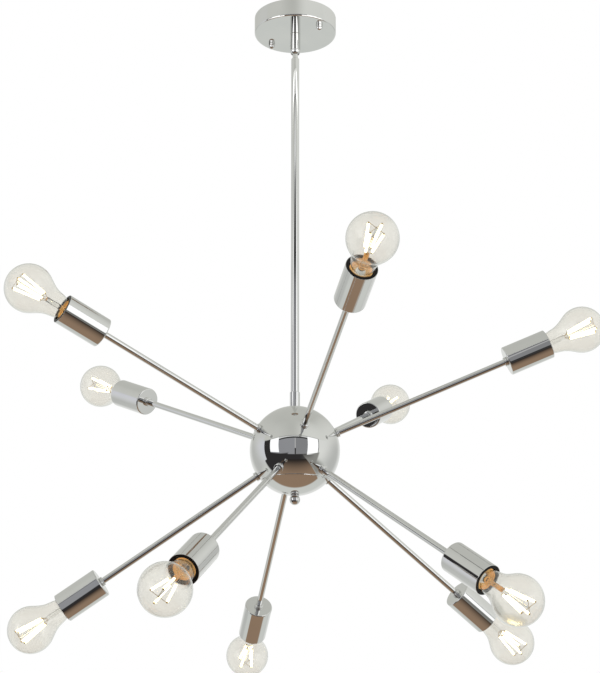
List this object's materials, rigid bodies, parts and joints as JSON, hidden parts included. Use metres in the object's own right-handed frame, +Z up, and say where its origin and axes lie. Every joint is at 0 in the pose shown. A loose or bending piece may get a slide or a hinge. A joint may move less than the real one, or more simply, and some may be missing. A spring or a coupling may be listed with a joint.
{
  "type": "sputnik chandelier",
  "caption": "Chrome sputnik chandelier: mirror ball hub on a downrod and round canopy, with straight arms in an upper and a lower ring, each ending in a cylinder cup and a clear bulb.",
  "frame": {"origin": "ceiling plane on the downrod's centre line: the middle of the mounting bar's top face", "axes": "+Z up; seen as in the picture, +X is to the right and +Y away from the viewer"},
  "size_m": [0.7653, 0.7669, 0.8728],
  "materials": {
    "chrome_plate": "polished mirror plate",
    "zinc_steel": "zinc-plated",
    "black_phenolic": "moulded, satin",
    "brass": "drawn",
    "clear_glass": "clear",
    "bulb_metal": "drawn cap with glowing filaments"
  },
  "bodies": {
    "ceiling_mount": {"mounting_bar": "zinc_steel", "canopy_studs": "zinc_steel", "canopy": "chrome_plate", "swivel_barrel": "chrome_plate", "swivel_nipple": "zinc_steel", "canopy_lock_nut": "zinc_steel"},
    "canopy_nut_left": {"canopy_nut_left": "chrome_plate"},
    "canopy_nut_right": {"canopy_nut_right": "chrome_plate"},
    "swivel": {"swivel_stem": "chrome_plate"},
    "fixture": {"downrod": "chrome_plate", "hub_coupling": "chrome_plate", "hub_tie_rod": "zinc_steel", "hub_shell": "chrome_plate", "hub_cap": "chrome_plate", "arm_lock_rings": "chrome_plate", "arm_tube_nuts": "zinc_steel", "lampholder_bodies": "black_phenolic", "lampholder_shells": "brass", "lampholder_contacts": "brass", "arm_tube_1": "chrome_plate", "arm_tube_2": "chrome_plate", "arm_tube_3": "chrome_plate", "arm_tube_4": "chrome_plate", "arm_tube_5": "chrome_plate", "arm_tube_6": "chrome_plate", "arm_tube_7": "chrome_plate", "arm_tube_8": "chrome_plate", "arm_tube_9": "chrome_plate", "arm_tube_10": "chrome_plate", "socket_cup_1": "chrome_plate", "socket_cup_2": "chrome_plate", "socket_cup_3": "chrome_plate", "socket_cup_4": "chrome_plate", "socket_cup_5": "chrome_plate", "socket_cup_6": "chrome_plate", "socket_cup_7": "chrome_plate", "socket_cup_8": "chrome_plate", "socket_cup_9": "chrome_plate", "socket_cup_10": "chrome_plate"},
    "finial": {"finial": "chrome_plate"},
    "bulb_1": {"bulb_glass_1": "clear_glass"},
    "bulb_core_1": {"bulb_core_1": "bulb_metal"},
    "bulb_2": {"bulb_glass_2": "clear_glass"},
    "bulb_core_2": {"bulb_core_2": "bulb_metal"},
    "bulb_3": {"bulb_glass_3": "clear_glass"},
    "bulb_core_3": {"bulb_core_3": "bulb_metal"},
    "bulb_4": {"bulb_glass_4": "clear_glass"},
    "bulb_core_4": {"bulb_core_4": "bulb_metal"},
    "bulb_5": {"bulb_glass_5": "clear_glass"},
    "bulb_core_5": {"bulb_core_5": "bulb_metal"},
    "bulb_6": {"bulb_glass_6": "clear_glass"},
    "bulb_core_6": {"bulb_core_6": "bulb_metal"},
    "bulb_7": {"bulb_glass_7": "clear_glass"},
    "bulb_core_7": {"bulb_core_7": "bulb_metal"},
    "bulb_8": {"bulb_glass_8": "clear_glass"},
    "bulb_core_8": {"bulb_core_8": "bulb_metal"},
    "bulb_9": {"bulb_glass_9": "clear_glass"},
    "bulb_core_9": {"bulb_core_9": "bulb_metal"},
    "bulb_10": {"bulb_glass_10": "clear_glass"},
    "bulb_core_10": {"bulb_core_10": "bulb_metal"}
  },
  "joints": [
    {"name": "canopy_nut_left_off", "type": "slide", "parent": "ceiling_mount", "child": "canopy_nut_left", "axis": [0, 0, -1], "range_m": [0, 0.01]},
    {"name": "canopy_nut_right_off", "type": "slide", "parent": "ceiling_mount", "child": "canopy_nut_right", "axis": [0, 0, -1], "range_m": [0, 0.01]},
    {"name": "swivel_tilt", "type": "hinge", "parent": "ceiling_mount", "child": "swivel", "pos_m": [0, 0, -0.0502], "axis": [0, 1, 0], "range_deg": [-15, 15]},
    {"name": "fixture_turn", "type": "hinge", "parent": "swivel", "child": "fixture", "pos_m": [0, 0, -0.0502], "axis": [0, 0, 1], "range_deg": [-170, 170]},
    {"name": "finial_off", "type": "slide", "parent": "fixture", "child": "finial", "axis": [0, 0, -1], "range_m": [0, 0.008]},
    {"name": "bulb_1_travel", "type": "slide", "parent": "fixture", "child": "bulb_1", "axis": [0.9216, -0.0741, 0.3811], "range_m": [0, 0.01996]},
    {"name": "bulb_1_turn", "type": "hinge", "parent": "bulb_1", "child": "bulb_core_1", "pos_m": [0.37167, -0.0299, -0.46531], "axis": [0.9216, -0.0741, 0.3811], "range_deg": [0, 1981]},
    {"name": "bulb_2_travel", "type": "slide", "parent": "fixture", "child": "bulb_2", "axis": [0.3553, 0.8536, 0.3811], "range_m": [0, 0.01996]},
    {"name": "bulb_2_turn", "type": "hinge", "parent": "bulb_2", "child": "bulb_core_2", "pos_m": [0.14329, 0.34424, -0.46531], "axis": [0.3553, 0.8536, 0.3811], "range_deg": [0, 1981]},
    {"name": "bulb_3_travel", "type": "slide", "parent": "fixture", "child": "bulb_3", "axis": [-0.702, 0.6017, 0.3811], "range_m": [0, 0.01996]},
    {"name": "bulb_3_turn", "type": "hinge", "parent": "bulb_3", "child": "bulb_core_3", "pos_m": [-0.28311, 0.24265, -0.46531], "axis": [-0.702, 0.6017, 0.3811], "range_deg": [0, 1981]},
    {"name": "bulb_4_travel", "type": "slide", "parent": "fixture", "child": "bulb_4", "axis": [-0.7891, -0.4817, 0.3811], "range_m": [0, 0.01996]},
    {"name": "bulb_4_turn", "type": "hinge", "parent": "bulb_4", "child": "bulb_core_4", "pos_m": [-0.31826, -0.19427, -0.46531], "axis": [-0.7891, -0.4817, 0.3811], "range_deg": [0, 1981]},
    {"name": "bulb_5_travel", "type": "slide", "parent": "fixture", "child": "bulb_5", "axis": [0.2143, -0.8994, 0.3811], "range_m": [0, 0.01996]},
    {"name": "bulb_5_turn", "type": "hinge", "parent": "bulb_5", "child": "bulb_core_5", "pos_m": [0.08641, -0.36272, -0.46531], "axis": [0.2143, -0.8994, 0.3811], "range_deg": [0, 1981]},
    {"name": "bulb_6_travel", "type": "slide", "parent": "fixture", "child": "bulb_6", "axis": [0.7212, 0.4147, -0.5548], "range_m": [0, 0.01996]},
    {"name": "bulb_6_turn", "type": "hinge", "parent": "bulb_6", "child": "bulb_core_6", "pos_m": [0.29087, 0.16726, -0.84277], "axis": [0.7212, 0.4147, -0.5548], "range_deg": [0, 1981]},
    {"name": "bulb_7_travel", "type": "slide", "parent": "fixture", "child": "bulb_7", "axis": [-0.1716, 0.8141, -0.5548], "range_m": [0, 0.01996]},
    {"name": "bulb_7_turn", "type": "hinge", "parent": "bulb_7", "child": "bulb_core_7", "pos_m": [-0.06919, 0.32832, -0.84277], "axis": [-0.1716, 0.8141, -0.5548], "range_deg": [0, 1981]},
    {"name": "bulb_8_travel", "type": "slide", "parent": "fixture", "child": "bulb_8", "axis": [-0.8272, 0.0884, -0.5548], "range_m": [0, 0.01996]},
    {"name": "bulb_8_turn", "type": "hinge", "parent": "bulb_8", "child": "bulb_core_8", "pos_m": [-0.33363, 0.03565, -0.84277], "axis": [-0.8272, 0.0884, -0.5548], "range_deg": [0, 1981]},
    {"name": "bulb_9_travel", "type": "slide", "parent": "fixture", "child": "bulb_9", "axis": [-0.3397, -0.7594, -0.5548], "range_m": [0, 0.01996]},
    {"name": "bulb_9_turn", "type": "hinge", "parent": "bulb_9", "child": "bulb_core_9", "pos_m": [-0.13701, -0.30628, -0.84277], "axis": [-0.3397, -0.7594, -0.5548], "range_deg": [0, 1981]},
    {"name": "bulb_10_travel", "type": "slide", "parent": "fixture", "child": "bulb_10", "axis": [0.6173, -0.5578, -0.5548], "range_m": [0, 0.01996]},
    {"name": "bulb_10_turn", "type": "hinge", "parent": "bulb_10", "child": "bulb_core_10", "pos_m": [0.24895, -0.22495, -0.84277], "axis": [0.6173, -0.5578, -0.5548], "range_deg": [0, 1981]}
  ],
  "couplings": [
    {"joint": "bulb_1_turn", "follows": "bulb_1_travel", "rad_per_m": 1731.4},
    {"joint": "bulb_2_turn", "follows": "bulb_2_travel", "rad_per_m": 1731.4},
    {"joint": "bulb_3_turn", "follows": "bulb_3_travel", "rad_per_m": 1731.4},
    {"joint": "bulb_4_turn", "follows": "bulb_4_travel", "rad_per_m": 1731.4},
    {"joint": "bulb_5_turn", "follows": "bulb_5_travel", "rad_per_m": 1731.4},
    {"joint": "bulb_6_turn", "follows": "bulb_6_travel", "rad_per_m": 1731.4},
    {"joint": "bulb_7_turn", "follows": "bulb_7_travel", "rad_per_m": 1731.4},
    {"joint": "bulb_8_turn", "follows": "bulb_8_travel", "rad_per_m": 1731.4},
    {"joint": "bulb_9_turn", "follows": "bulb_9_travel", "rad_per_m": 1731.4},
    {"joint": "bulb_10_turn", "follows": "bulb_10_travel", "rad_per_m": 1731.4}
  ]
}
